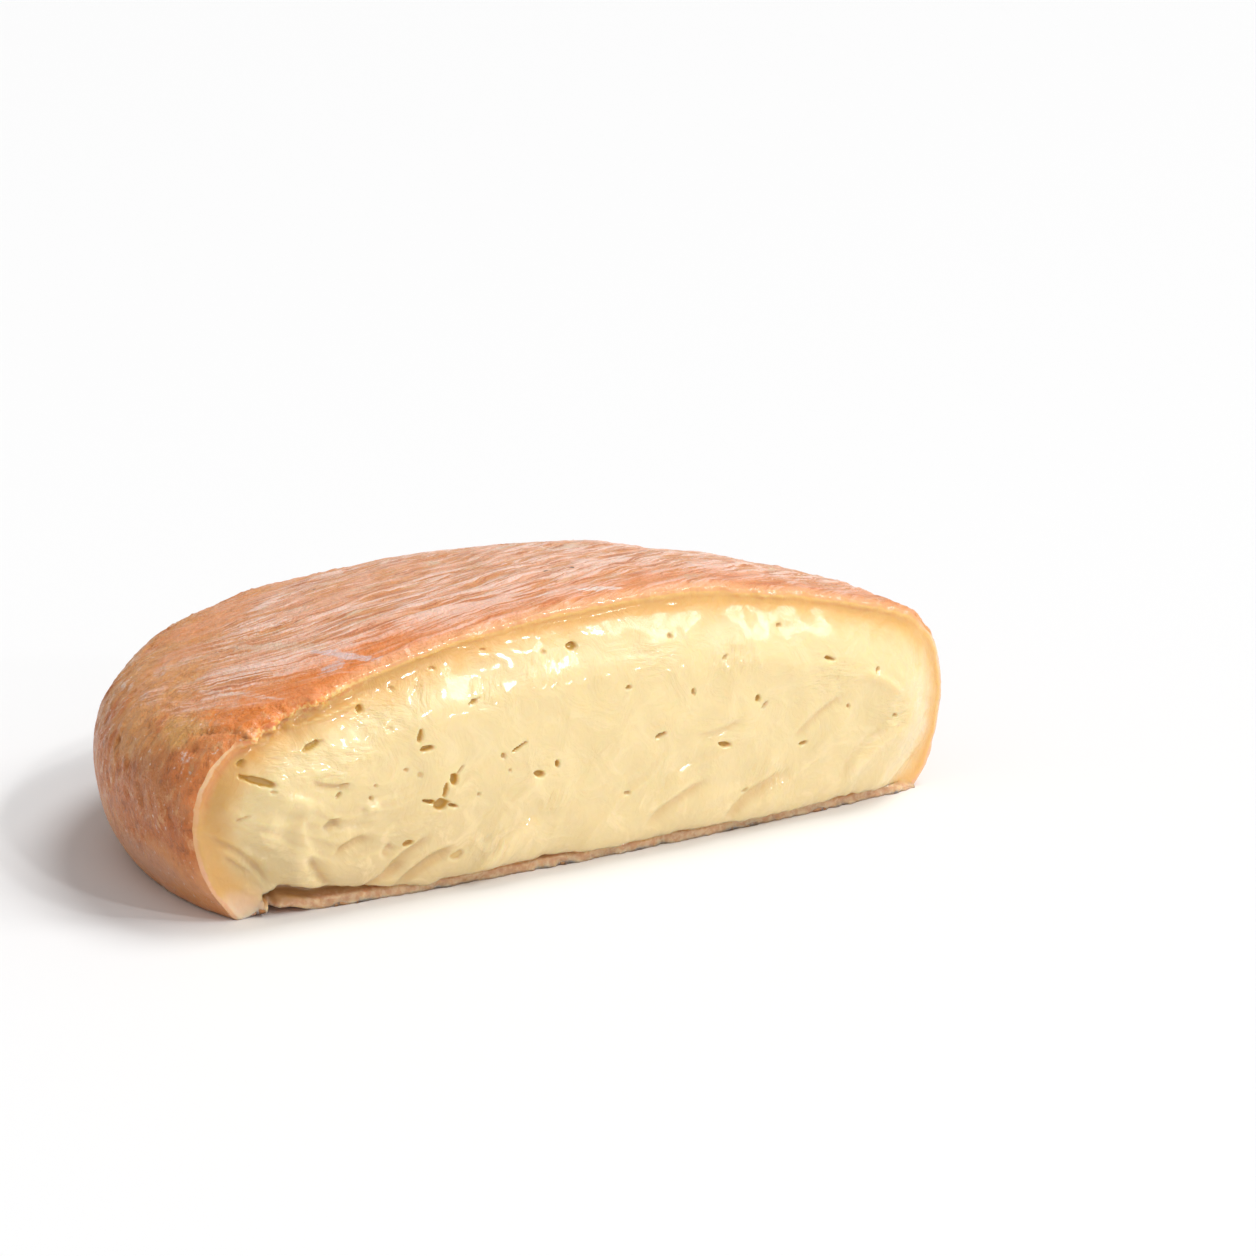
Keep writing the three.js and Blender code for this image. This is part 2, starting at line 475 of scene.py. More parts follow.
def rind_relief(points, normals):
    """How far the rind stands out from the turned shape, and how much of that is its crests."""
    up = normals[:, 1]
    top = smooth(up, 0.75, 0.97)
    side = smooth(up, -0.6, -0.2) * (1 - smooth(up, 0.8, 0.95))
    base = smooth(-up, 0.85, 0.95)
    height = points[:, 2]
    around = np.arctan2(points[:, 1], points[:, 0]) * RADIUS
    slump = 0.8 * grain(points, 55, 1, 2) + 0.35 * grain(points, 17, 2, 2)
    across, along = streak_place(points)
    bend = 2.5 * grain(points, 30, 8, 2)
    wrinkles = drawn_out(across + bend, along, WRINKLE_SPACING, WRINKLE_LENGTH)
    fold = ridges(wrinkles, 1, 3, 2)
    strength = 0.45 + 0.4 * grain(drawn_out(across, along, 14, 40), 1, 7, 2)
    wide = 0.3 * grain(drawn_out(across, along, 9, 50), 1, 4, 2)
    leaned = around + PUCKER_LEAN * height
    pucker = ridges(drawn_out(leaned, height, PUCKER_SPACING, PUCKER_LENGTH), 1, 5, 2)
    rough = smooth(height, 14, 22)
    shoulder = smooth(height, 27, 33) * (1 - smooth(height, 41, 45))
    crumbs = grain(points, CRUMB_SIZE, 6)
    relief = slump * (1 - base) + top * (WRINKLE_HEIGHT * strength * (fold - 0.5) + wide)
    relief += side * rough * PUCKER_HEIGHT * (pucker - 0.5) + CRUMB_HEIGHT * crumbs * shoulder
    crest = top * fold * strength * 2 + side * rough * (pucker + 0.5 * crumbs * shoulder)
    return relief, crest


def side_cracks():
    """The listed cracks, and more scattered round the shoulder and the side."""
    draw = random.Random(11)
    cracks = list(CRACKS)
    for _ in range(SCATTERED_CRACKS):
        turn = draw.uniform(-0.2, math.pi + 0.2)
        height = draw.uniform(*SCATTERED_HEIGHTS)
        length = draw.uniform(*SCATTERED_LENGTHS)
        lean = draw.uniform(-SCATTERED_LEAN, SCATTERED_LEAN)
        inset = np.interp(height, SIDE[:, 1], RADIUS - SIDE[:, 0])
        ends = []
        for share in (-0.5, 0.5):
            angle = turn + share * length * math.sin(lean) / RADIUS
            reach = RADIUS - inset
            rise = share * length * math.cos(lean)
            ends.append((reach * math.cos(angle), reach * math.sin(angle), height + rise))
        cracks.append(tuple(ends))
    return cracks


def crack_nearness(points):
    """1 on the line of a crack, fading to 0 beside it."""
    nearest = np.full(len(points), 9.0)
    for start, end in side_cracks():
        run = np.subtract(end, start)
        close = np.abs(points - np.add(start, end) / 2).max(1) < np.hypot.reduce(run) + 3
        offset = points[close] - start
        share = np.clip(offset @ run / (run @ run), 0, 1)
        away = np.linalg.norm(offset - share[:, None] * run, axis=1)
        nearest[close] = np.minimum(nearest[close], away)
    return np.exp(-((nearest / CRACK_WIDTH) ** 2))


def rack_grooves(x, y):
    """How deep the ripening rack has pressed into the underside: crossed wires and a ridged mat."""
    deepest = np.zeros_like(x)
    for turn in RACK_TURNS:
        angle = math.radians(turn)
        across = x * math.sin(angle) - y * math.cos(angle)
        from_wire = np.abs((across / RACK_SPACING + 0.5) % 1 - 0.5) * RACK_SPACING
        deepest = np.maximum(deepest, 1 - smooth(from_wire, 0.6, 2.4))
    mat = 0.5 + 0.5 * np.cos(y * math.tau / MAT_SPACING)
    return WIRE_DEPTH * deepest + MAT_DEPTH * mat * (1 - deepest)


def paste_edge(points):
    """Height of the paste's lower edge, which has flowed over the bottom rind."""
    along, height = np.array(PASTE_EDGE).T
    line = np.column_stack([points[:, 0], 0 * points[:, 0], 0 * points[:, 0]])
    return np.interp(points[:, 0], along, height) + 0.45 * grain(line, 5, 11)


def crumbly(x):
    """1 at the left of the top rim, where the rind has crumbled over the cut."""
    return smooth(x, -84, -80) * (1 - smooth(x, -68, -56))


def edge_drop(distance):
    """How far the rounded rim falls away at a distance from its corner."""
    return 0.3 * RIM_ROUND * np.clip(1 - distance / RIM_ROUND, 0, 1) ** 2


def cut_forward(points, depth):
    """How far each point of the cut stands forward of its plane."""
    x = points[:, 0]
    z = points[:, 2]
    flat = np.column_stack([x, 0 * x, z])
    above = z - paste_edge(points)
    bow = CUT_BOW * (1 - (x / CUT_BOW_REACH) ** 2) * (1 - 0.8 * smooth(z, 20, 48))
    roll = np.sqrt(1 - (1 - np.clip(above / 8, 0, 1)) ** 2)
    pillow = smooth(depth + 0.8 * grain(flat, 9, 12, 2), 1.0, 16)
    corner = (1 - smooth(x, -84, -70)) * (1 - smooth(z, 8, 20))
    swell = PASTE_BULGE * pillow * roll * (1 - corner)
    inside = smooth(depth, 2.5, 8) * smooth(above, 0, 1.5)
    return bow + swell + rim_forward(x, z, flat, depth, above) + ledge_forward(x, z, flat, above) + (
        inside * paste_relief(x, z, flat) + smooth(depth, 1, 3) * fold_relief(x, z)
    )


def rim_forward(x, z, flat, depth, above):
    """The ragged edge of the cut rind, and the hollow in the paste just inside it."""
    top_rim = smooth(z, 34, 40)
    under_lip = smooth(depth, RIND_THICKNESS * 0.7, RIND_THICKNESS * 1.2) * (1 - smooth(depth, 3, 8))
    recess = LIP_RECESS * under_lip * smooth(above, -1, 3) * (0.25 + 0.75 * crumbly(x) * top_rim)
    ragged = grain(flat, 2.6, 13) * 0.8 + grain(flat, 8, 14) * 0.8
    lumps = smooth(grain(flat, 3.2, 16, 2), -0.2, 0.5) * crumbly(x)
    lip = (ragged * (0.4 + crumbly(x)) + 0.4 + 2.6 * lumps) * top_rim + 0.25 * ragged * (1 - top_rim)
    lip *= 1 - smooth(depth, RIND_THICKNESS * 0.6, RIND_THICKNESS * (1.3 + 1.6 * crumbly(x)))
    return lip - recess - edge_drop(depth) * smooth(z, 4, 10)


def ledge_forward(x, z, flat, above):
    """The bottom rind's lip, the channel between it and the paste, and its nick."""
    below = smooth(above, 0.3, -0.5)
    lip = smooth(z, LEDGE_LIP + 0.6, LEDGE_LIP - 0.6)
    uneven = 0.5 * grain(flat, 2.2, 15) + 0.5 * grain(flat, 7, 17, 2)
    ledge = below * ((LEDGE_FORWARD + uneven) * lip - LEDGE_CHANNEL * (1 - lip))
    nick = NOTCH_DEPTH * smooth(np.abs(x - NOTCH_X), 1.6, 0.5) * smooth(z, 4.5, 2.5)
    return ledge - nick


def fold_relief(x, z):
    """The listed creases and ridges, each steep on one side and soft on the other."""
    total = np.zeros_like(x)
    for start, end, sag, width, height in FOLDS:
        run = np.subtract(end, start)
        length = np.hypot(*run)
        along = ((x - start[0]) * run[0] + (z - start[1]) * run[1]) / length**2
        across = ((z - start[1]) * run[0] - (x - start[0]) * run[1]) / length
        across = across - 4 * sag * along * (1 - along)
        reach = across / np.where(across > 0, width, 2.5 * width)
        ends = smooth(along, -0.15, 0.25) * smooth(along, 1.15, 0.75)
        total += height * ends * np.exp(-(reach**2))
    return total


def paste_relief(x, z, flat):
    """Soft swirls of the swelled paste at the left, slanting folds elsewhere, and ripples."""
    middle_x, middle_z = SWIRL_MIDDLE
    bend = 4 * grain(flat, 20, 21, 2)
    out = np.hypot(x - middle_x, (z - middle_z) * 1.4) + bend
    turn = np.arctan2(z - middle_z, x - middle_x)
    swirls = ridges(np.column_stack([out / 5.5, turn, 0 * x]), 1, 22, 2)
    slant = np.column_stack([(z * 0.86 - x * 0.5 + bend) / 7, (x * 0.86 + z * 0.5) / 26, 0 * x])
    slants = ridges(slant, 1, 23, 2)
    left = smooth(x, -36, -54)
    low = smooth(z, 32, 16)
    folds = 0.65 * (swirls - 0.4) * left * (0.3 + 0.7 * low) + 0.4 * (slants - 0.4) * (1 - left) * low
    level = grain(np.column_stack([x / 4.5, 0 * x, z / 1.3]), 1, 26, 2)
    leaning = np.column_stack([(x * 0.9 - z * 0.45) / 1.3, 0 * x, (z * 0.9 + x * 0.45) / 4.5])
    steep = grain(leaning, 1, 27, 2)
    ripples = level * rippled(LEVEL_RIPPLES, x, z) + steep * rippled(STEEP_RIPPLES, x, z)
    return 0.7 * grain(flat, 12, 25, 2) + folds + RIPPLE_HEIGHT * ripples


def rippled(zones, x, z):
    """1 inside the zones where the paste is rippled, 0 outside."""
    most = np.zeros_like(x)
    for place, height, length, tall in zones:
        reach = np.hypot((x - place) / length, (z - height) / tall)
        most = np.maximum(most, 1 - smooth(reach, 0.3, 1.1))
    return most


def eye_cavities(points, depth):
    """How deep the eyes go at each point of the cut."""
    x = points[:, 0]
    z = points[:, 2]
    uneven = 0.28 * grain(np.column_stack([x, 0 * x, z]), 1.3, 31, 2)
    deepest = np.zeros_like(x)
    for eye in EYES:
        near = np.hypot(x - eye[0], z - eye[1]) < eye[2] + eye[3]
        reach = eye_reach(eye, x[near], z[near]) + uneven[near]
        cavity = EYE_DEPTH * eye[5] * smooth(reach, 1.15, 0.6)
        deepest[near] = np.maximum(deepest[near], cavity)
    return deepest * (depth > RIND_THICKNESS)


def shaped(points, cut):
    """Moves the blank's points to the finished surface; returns them and what the finishes read."""
    feet, flat_normals = nearest_on(SECTION, points)
    rim_feet, _ = nearest_on(SIDE, points)
    radius = np.hypot(points[:, 0], points[:, 1])
    depth = np.hypot(rim_feet[:, 0] - radius, rim_feet[:, 1] - points[:, 2]) * cut
    normals = turned(flat_normals, points)
    relief, crest = rind_relief(turned(feet, points), flat_normals)
    crack = crack_nearness(points) * (1 - cut)
    behind_cut = points[:, 1] - CUT_Y
    relief -= CRACK_DEPTH * crack + edge_drop(behind_cut) * smooth(points[:, 2], 4, 10)
    moved = points + normals * (relief * (1 - smooth(depth, 0, 7)))[:, None]
    base = (1 - cut) * (feet[:, 1] < 0.05) * smooth(RACKED_RADIUS - radius, 0, 3)
    moved[:, 2] += base * rack_grooves(points[:, 0], points[:, 1])
    follow = 1 - smooth(behind_cut, 0, RIM_REACH)
    eyes = eye_cavities(points, depth) * cut
    moved[:, 1] -= cut_forward(points, depth) * follow - eyes
    above = points[:, 2] - paste_edge(points)
    droop = DROOP * cut * smooth(above, 0, 0.8) * smooth(above, 7, 1.5) * smooth(depth, 3, 9)
    near_notch = 1 - smooth(np.abs(points[:, 0] - NOTCH_X - 2), 1, 9)
    lifted = NOTCH_LIFT * near_notch * (1 - smooth(points[:, 2], 3, 7))
    moved[:, 2] += (lifted - droop) * follow
    low_end = smooth(points[:, 2], 12, 2) * smooth(behind_cut, 26, 0)
    moved[:, 0] -= END_TUCK * low_end * smooth(np.abs(points[:, 0]), 60, 85) * np.sign(points[:, 0])
    leaning = np.clip((points[:, 2] - LEAN_START) / (LEAN_FULL - LEAN_START), 0, 1)
    moved[:, 2] += TOP_LEAN * points[:, 0] * leaning
    moved[:, 2] = np.maximum(moved[:, 2], 0)
    values = {
        "under_rind": depth,
        "eye": eyes,
        "crest": crest * (1 - cut),
        "crack": crack,
        "behind_cut": behind_cut,
        "over_ledge": np.where(cut > 0, above, 0),
        "fold": fold_relief(points[:, 0], points[:, 2]) * cut * smooth(depth, 1, 3),
        "level_ripples": rippled(LEVEL_RIPPLES, points[:, 0], points[:, 2]) * cut,
        "steep_ripples": rippled(STEEP_RIPPLES, points[:, 0], points[:, 2]) * cut,
    }
    return moved, values


def point_values(mesh, name, values):
    mesh.attributes.new(name, "FLOAT", "POINT").data.foreach_set("value", values.astype(np.float32))


def cheese():
    bm = even_faces(whole_wheel())
    cut_wheel(bm)
    refine_eyes(bm)
    bmesh.ops.triangulate(bm, faces=[f for f in bm.faces if len(f.verts) > 4])
    bmesh.ops.recalc_face_normals(bm, faces=bm.faces)
    mesh = bpy.data.meshes.new("cheese")
    bm.to_mesh(mesh)
    bm.free()
    points = mesh_points(mesh)
    cut = (np.abs(points[:, 1] - CUT_Y) < 1e-3).astype(float)
    moved, values = shaped(points, cut)
    mesh.vertices.foreach_set("co", moved.ravel())
    for name, value in values.items():
        point_values(mesh, name, value)
    mesh.materials.append(rind_finish())
    mesh.materials.append(paste_finish())
    for polygon in mesh.polygons:
        polygon.use_smooth = True
        polygon.material_index = int(all(cut[v] for v in polygon.vertices))
    mesh.transform(Matrix.Translation((0, AXIS_Y * MM, 0)) @ Matrix.Scale(MM, 4))
    mesh.update()
    piece = bpy.data.objects.new("cheese", mesh)
    bpy.context.scene.collection.objects.link(piece)
    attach(piece, "root")
    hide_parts("cheese_wheel")
    return piece


# ---------------------------------------------------------------------------------------------------
# Finishes


def tint(red, green, blue):
    """A colour from its screen values, 0 to 255."""
    screen = [value / 255 for value in (red, green, blue)]
    return (*(v / 12.92 if v <= 0.04045 else ((v + 0.055) / 1.055) ** 2.4 for v in screen), 1)


TOP_TAN = tint(222, 152, 98)
TOP_PINK = tint(238, 176, 140)
TOP_GREY = tint(222, 190, 156)
# Pale crest colour of the top, partly a painted highlight on the wet wrinkles.
TOP_PALE_AND_SHEEN = tint(250, 212, 194)
TOP_CREASE = tint(196, 116, 76)
TOP_ORANGE = tint(234, 132, 52)
TOP_BACK = tint(236, 154, 96)
TOP_ROLL = tint(236, 172, 118)
LILAC = tint(222, 202, 200)
# Chalky white for pale patches on the top, also used for painted glints on the side.
CHALK_AND_GLINT = tint(244, 222, 208)
PIT = tint(60, 48, 36)
# Marks on the top: place, length and width, turn, colour, strength.
TOP_SPOTS = [
    ((-58.5, 12), (24, 4), -69, tint(232, 198, 170), 0.7),
    ((-52.5, -8), (17, 2.4), -69, LILAC, 0.75),
    ((-57, -10), (6, 4), 20, LILAC, 0.7),
    ((-76, 4), (36, 1.4), -73, CHALK_AND_GLINT, 0.5),
    ((5, -13), (9, 2), -25, CHALK_AND_GLINT, 0.9),
    ((-6, -10), (6, 1.2), 10, CHALK_AND_GLINT, 0.8),
    ((3.5, 5.6), (1.7, 1.0), 30, PIT, 1),
    ((9.1, 4.3), (1.0, 0.8), 0, PIT, 1),
    ((-34, 38), (1.2, 0.8), 0, PIT, 0.8),
    ((24, 30), (16, 5), 15, TOP_GREY, 0.6),
]
SIDE_RED = tint(207, 121, 60)
SIDE_TAN = tint(224, 153, 90)
SIDE_YELLOW = tint(228, 162, 102)
SIDE_ORANGE = tint(214, 122, 60)
SIDE_PALE = tint(232, 178, 124)
SIDE_DARK = tint(152, 86, 46)
SIDE_LOW = tint(218, 147, 90)
SIDE_LOW_PINK = tint(224, 158, 112)
# Broad tones of the side near the cut: middle, reach each way, colour, strength.
SIDE_TONES = [
    ((-94, -4, 24), (9, 15, 9), tint(192, 110, 60), 0.6),
    ((-86, -3, 37), (7, 9, 4), tint(220, 164, 92), 0.7),
    ((-87, -13, 31), (7, 8, 10), tint(232, 140, 76), 0.8),
    ((-74, -7, 42), (13, 14, 6), TOP_ORANGE, 0.9),
    ((-92, 6, 8), (9, 14, 4), tint(204, 152, 124), 0.5),
]
# Chalky flecks, some of them painted glints on the wet shoulder: middle, reach each way, strength.
FLECKS_AND_GLINTS = [
    ((-89.5, -8, 33), (2.2, 1.6, 1.3), 0.9),
    ((-90.5, -5, 34.5), (1.4, 2, 0.7), 0.5),
    ((-79, 37, 35.5), (3, 3.5, 1), 0.5),
    ((-75, 31, 39), (2, 2.6, 0.8), 0.5),
    ((-62, 55, 38), (1.4, 1.4, 0.8), 0.5),
]
CRACK_BROWN = tint(150, 74, 36)
BASE_TAN = tint(206, 148, 98)
BASE_ORANGE = tint(206, 134, 82)
BASE_BLOOM = tint(226, 200, 172)
PASTE_CREAM = tint(240, 217, 163)
PASTE_PALE = tint(247, 224, 174)
# Painted shade for the lower paste, which bulges down away from the light.
PASTE_LOW_SHADE = tint(225, 200, 148)
RIPE_BAND = tint(234, 180, 98)
# Ripe ochre darkened with painted shade, for the paste under the crumbly lip.
RIPE_AND_LIP_SHADE = tint(220, 169, 91)
PASTE_CREASE_SHADE = tint(216, 170, 104)
RIPE_EDGE = tint(228, 156, 92)
CRUMB_YELLOW = tint(246, 208, 138)
RIND_LINE = tint(240, 198, 150)
RIND_LINE_TOP = tint(232, 174, 118)
RIND_LINE_LOW = tint(236, 184, 142)
CORNER_CREAM = tint(246, 214, 184)
LEDGE_PINK = tint(212, 161, 121)
LEDGE_PALE = tint(228, 192, 152)
LEDGE_SHADE = tint(186, 140, 90)
EYE_OCHRE = tint(214, 166, 62)


class Value:
    """One output of a shader node. Arithmetic on it adds Math nodes."""

    def __init__(self, finish, socket):
        self.finish = finish
        self.socket = socket

    def maths(self, operation, *values):
        return self.finish.node("ShaderNodeMath", {"operation": operation}, dict(enumerate(values)))

    def __add__(self, other):
        return self.maths("ADD", self, other)

    def __radd__(self, other):
        return self.maths("ADD", other, self)

    def __sub__(self, other):
        return self.maths("SUBTRACT", self, other)

    def __rsub__(self, other):
        return self.maths("SUBTRACT", other, self)

    def __mul__(self, other):
        return self.maths("MULTIPLY", self, other)

    def __rmul__(self, other):
        return self.maths("MULTIPLY", other, self)

    def __truediv__(self, other):
        return self.maths("DIVIDE", self, other)


class Finish:
    """A procedural material."""

    def __init__(self, name):
        self.material = bpy.data.materials.new(name)
        self.material.use_nodes = True
        self.tree = self.material.node_tree
        self.tree.nodes.clear()

    def node(self, kind, settings=None, values=None, output=0):
        made = self.tree.nodes.new(kind)
        for setting, value in (settings or {}).items():
            setattr(made, setting, value)
        for name, value in (values or {}).items():
            if isinstance(value, Value):
                self.tree.links.new(value.socket, made.inputs[name])
            else:
                made.inputs[name].default_value = value
        return Value(self, made.outputs[output])

    def place(self):
        """Millimetres about the whole wheel's axis."""
        around = self.node("ShaderNodeTexCoord", output="Object")
        values = {"Vector": around, "Location": (0, -AXIS_Y, 0), "Scale": (1 / MM, 1 / MM, 1 / MM)}
        return self.node("ShaderNodeMapping", values=values)

    def split(self, vector):
        return [self.node("ShaderNodeSeparateXYZ", values={0: vector}, output=i) for i in range(3)]

    def joined(self, x, y, z):
        return self.node("ShaderNodeCombineXYZ", values={0: x, 1: y, 2: z})

    def attribute(self, name):
        return self.node("ShaderNodeAttribute", {"attribute_name": name}, output="Fac")

    def grain(self, vector, size, detail=3, roughness=0.55, distortion=0):
        values = {"Vector": vector, "Scale": 1 / size, "Detail": detail}
        values |= {"Roughness": roughness, "Distortion": distortion}
        return self.node("ShaderNodeTexNoise", values=values)

    def rise(self, value, start, end, low=0, high=1):
        """low before start, high after end, and smooth between them."""
        if start > end:
            start, end, low, high = end, start, high, low
        values = {"Value": value, "From Min": start, "From Max": end, "To Min": low, "To Max": high}
        return self.node("ShaderNodeMapRange", {"interpolation_type": "SMOOTHSTEP"}, values)

    def mix(self, factor, first, second):
        return self.node("ShaderNodeMix", {"data_type": "RGBA"}, {0: factor, 6: first, 7: second}, 2)

    def length(self, vector):
        return self.node("ShaderNodeVectorMath", {"operation": "LENGTH"}, {0: vector}, "Value")

    def spot(self, x, y, place, size, turn, uneven):
        """1 inside a ragged oval of the given length and width, 0 outside."""
        angle = math.radians(turn)
        aside = x - place[0]
        behind = y - place[1]
        along = (aside * math.cos(angle) + behind * math.sin(angle)) * (2 / size[0])
        across = (behind * math.cos(angle) - aside * math.sin(angle)) * (2 / size[1])
        return self.rise(self.length(self.joined(along, across, 0)) + uneven, 1.2, 0.8)

    def near(self, place, middle, reach, uneven):
        """1 inside a ragged egg shape round a middle, 0 outside."""
        values = {0: place, 1: middle}
        offset = self.node("ShaderNodeVectorMath", {"operation": "SUBTRACT"}, values)
        share = self.node("ShaderNodeVectorMath", {"operation": "DIVIDE"}, {0: offset, 1: reach})
        return self.rise(self.length(share) + uneven, 1.25, 0.75)

    def bump(self, height, distance, normal=None):
        values = {"Height": height, "Distance": distance * MM}
        if normal:
            values["Normal"] = normal
        return self.node("ShaderNodeBump", values=values)

    def surface(self, values):
        shader = self.node("ShaderNodeBsdfPrincipled", values=values)
        end = self.tree.nodes.new("ShaderNodeOutputMaterial")
        self.tree.links.new(shader.socket, end.inputs["Surface"])
        return self.material


def streaked(f, across, along, spacing, length, layer, detail=4, roughness=0.6, distortion=0):
    """Noise drawn out along the streaks. Each layer is a different noise."""
    place = f.joined(across / spacing, along / length, layer)
    return f.grain(place, 1, detail, roughness, distortion)


def top_colour(f, x, y, crest, blotches, uneven):
    """The top's streaks run in wide arcs: pale crests that are partly a painted highlight, brown
    creases, pink and tan bands between.
    """
    aside = x + STREAK_MIDDLE[0]
    behind = STREAK_MIDDLE[1] - y
    curl = aside.maths("MAXIMUM", aside * -1, 0)
    squares = aside * aside + behind * behind + curl * curl * curl * STREAK_CURL
    across = squares.maths("SQRT", squares) + (blotches - 0.5) * 6
    along = aside.maths("ARCTAN2", aside, behind) * STREAK_MIDDLE[1]
    fine = streaked(f, across, along, 0.7, 15, 0)
    wide = streaked(f, across, along, 2.1, 18, 5, 3, 0.55, 0.3)
    bands = streaked(f, across, along, 6, 20, 3, distortion=0.4)
    greys = streaked(f, across, along, 3.5, 16, 9)
    streaks = fine * 0.6 + wide * 0.4
    calm = f.rise(blotches + uneven * 0.08, 0.5, 0.62) * f.rise(y, 10, 40)
    colour = f.mix(f.rise(bands, 0.42, 0.58), TOP_TAN, TOP_PINK)
    colour = f.mix(f.rise(greys, 0.56, 0.66, 0, 0.8), colour, TOP_GREY)
    # Pale crests along the streaks: partly the rind's pale colour, partly a painted highlight where the
    # wrinkles catch the light.
    pale = f.rise(streaks + crest * 0.1, 0.53, 0.63, 0, 0.9)
    colour = f.mix(pale * (1 - calm * 0.7), colour, TOP_PALE_AND_SHEEN)
    dark = f.rise(streaks, 0.49, 0.4, 0, 0.8)
    colour = f.mix(dark * (1 - calm * 0.5), colour, TOP_CREASE)
    near_cut = f.rise(y + uneven * 7, 3, -12)
    left = f.rise(x + uneven * 14, -24, -52)
    orange = near_cut * f.rise(left, 0, 1, 0.35, 0.8) * f.rise(streaks, 0.7, 0.5, 0.55, 1)
    colour = f.mix(orange, colour, TOP_ORANGE)
    from_axis = x * x + y * y
    from_axis = from_axis.maths("SQRT", from_axis)
    back = f.rise(from_axis + uneven * 5, 60, 72) * f.rise(y, 24, 44)
    colour = f.mix(back * 0.75, colour, TOP_BACK)
    for spot, size, turn, mark, strength in TOP_SPOTS:
        mask = f.spot(x, y, spot, size, turn, uneven * 1.5) * f.rise(fine, 0.36, 0.54, 0.2, 1)
        colour = f.mix(mask * strength, colour, mark)
    torn = f.rise(x + uneven * 6, -50, -62)
    roll = f.rise(f.attribute("behind_cut") + uneven * 1.2, 2.4, 0.6) * (1 - torn * 0.6)
    return f.mix(roll * 0.7, colour, TOP_ROLL), streaks


def side_colour(f, place, x, y, z, crest, uneven):
    """Tan at the shoulder, red-brown and cracked at the middle, smooth and pink low down, with pale
    specks and streaks that are partly painted glints.
    """
    turn = y.maths("ARCTAN2", y, x) * RADIUS
    upright = streaked(f, turn + z * PUCKER_LEAN, z, 1.5, 4, 0, 4, 0.62, 0.6)
    mottle = f.grain(place, 3.2, 5, 0.68)
    patches = f.grain(place, 11, 3)
    wander = uneven * 6 + (patches - 0.5) * 40
    low = f.rise(z + wander, 18, 7)
    high = f.rise(z + wander, 19, 35)
    colour = f.mix(high, SIDE_RED, SIDE_TAN)
    colour = f.mix(f.rise(patches, 0.5, 0.62) * high * 0.6, colour, SIDE_YELLOW)
    colour = f.mix(f.rise(patches, 0.46, 0.36, 0, 0.7), colour, SIDE_ORANGE)
    low_colour = f.mix(f.rise(patches + uneven * 0.04, 0.42, 0.6), SIDE_LOW, SIDE_LOW_PINK)
    colour = f.mix(low, colour, low_colour)
    for middle, reach, tone, strength in SIDE_TONES:
        colour = f.mix(f.near(place, middle, reach, uneven * 0.6) * strength, colour, tone)
    rough = 1 - low * 0.8
    colour = f.mix(f.rise(mottle, 0.53, 0.66, 0, 0.6) * rough, colour, SIDE_PALE)
    colour = f.mix(f.rise(mottle, 0.48, 0.34, 0, 0.65) * rough * (1 - high * 0.6), colour, SIDE_DARK)
    # Pale on the upright streaks and pucker crests: partly streak colour, partly painted glints.
    colour = f.mix(f.rise(upright + crest * 0.06, 0.58, 0.72, 0, 0.35) * rough, colour, SIDE_PALE)
    colour = f.mix(f.rise(upright, 0.43, 0.32, 0, 0.35) * rough, colour, SIDE_DARK)
    # Tiny pale specks over the side: mostly painted glints of the moist rind, partly chalky specks.
    specks_and_glints = f.rise(f.grain(place, 1.1, 1), 0.66, 0.74) * f.rise(mottle, 0.42, 0.55)
    colour = f.mix(specks_and_glints * 0.55, colour, CHALK_AND_GLINT)
    # Chalky flecks, some of them painted glints on the shoulder.
    for middle, reach, strength in FLECKS_AND_GLINTS:
        broken = f.rise(mottle, 0.45, 0.56)
        colour = f.mix(f.near(place, middle, reach, uneven * 1.1) * broken * strength, colour, CHALK_AND_GLINT)
    return colour, mottle, upright, low


def rind_finish():
    """Damp orange rind: streaked pink on top, mottled and cracked on the side, rack-marked below."""
    f = Finish("washed_rind")
    place = f.place()
    x, y, z = f.split(place)
    crest = f.attribute("crest")
    blotches = f.grain(place, 14, 4)
    fine = f.grain(place, 2.2, 4)
    uneven = (fine - 0.5) * 1.6 + (blotches - 0.5)
    top, streaks = top_colour(f, x, y, crest, blotches, uneven)
    side, mottle, upright, low = side_colour(f, place, x, y, z, crest, uneven)
    on_top = f.rise(z + uneven * 6 + (blotches - 0.5) * 16, 37, 43.5)
    colour = f.mix(on_top, side, top)
    colour = f.mix(f.rise(f.attribute("crack"), 0.5, 1, 0, 0.55), colour, CRACK_BROWN)
    base = f.mix(f.rise(mottle, 0.4, 0.6), BASE_TAN, BASE_ORANGE)
    base = f.mix(f.rise(blotches, 0.5, 0.7, 0, 0.6), base, BASE_BLOOM)
    colour = f.mix(f.rise(z + uneven * 0.4, 0.9, 0.5), colour, base)
    height = streaks * on_top + upright * (1 - on_top) * (1 - low * 0.6)
    bumps = f.bump(height, 0.5)
    bumps = f.bump(mottle * (1 - low * 0.6), 0.8, bumps)
    bumps = f.bump(f.grain(place, 0.7, 3), 0.16, bumps)
    return f.surface(
        {
            "Base Color": colour,
            "Roughness": f.rise(streaks, 0.35, 0.65, 0.34, 0.52),
            "Normal": bumps,
            "Subsurface Weight": 0.25,
            "Subsurface Radius": (1.0, 0.45, 0.25),
            "Subsurface Scale": 0.0015,
            "Specular IOR Level": 0.35,
            "Coat Weight": f.rise(fine, 0.4, 0.7, 0.03, 0.4),
            "Coat Roughness": 0.18,
        }
    )


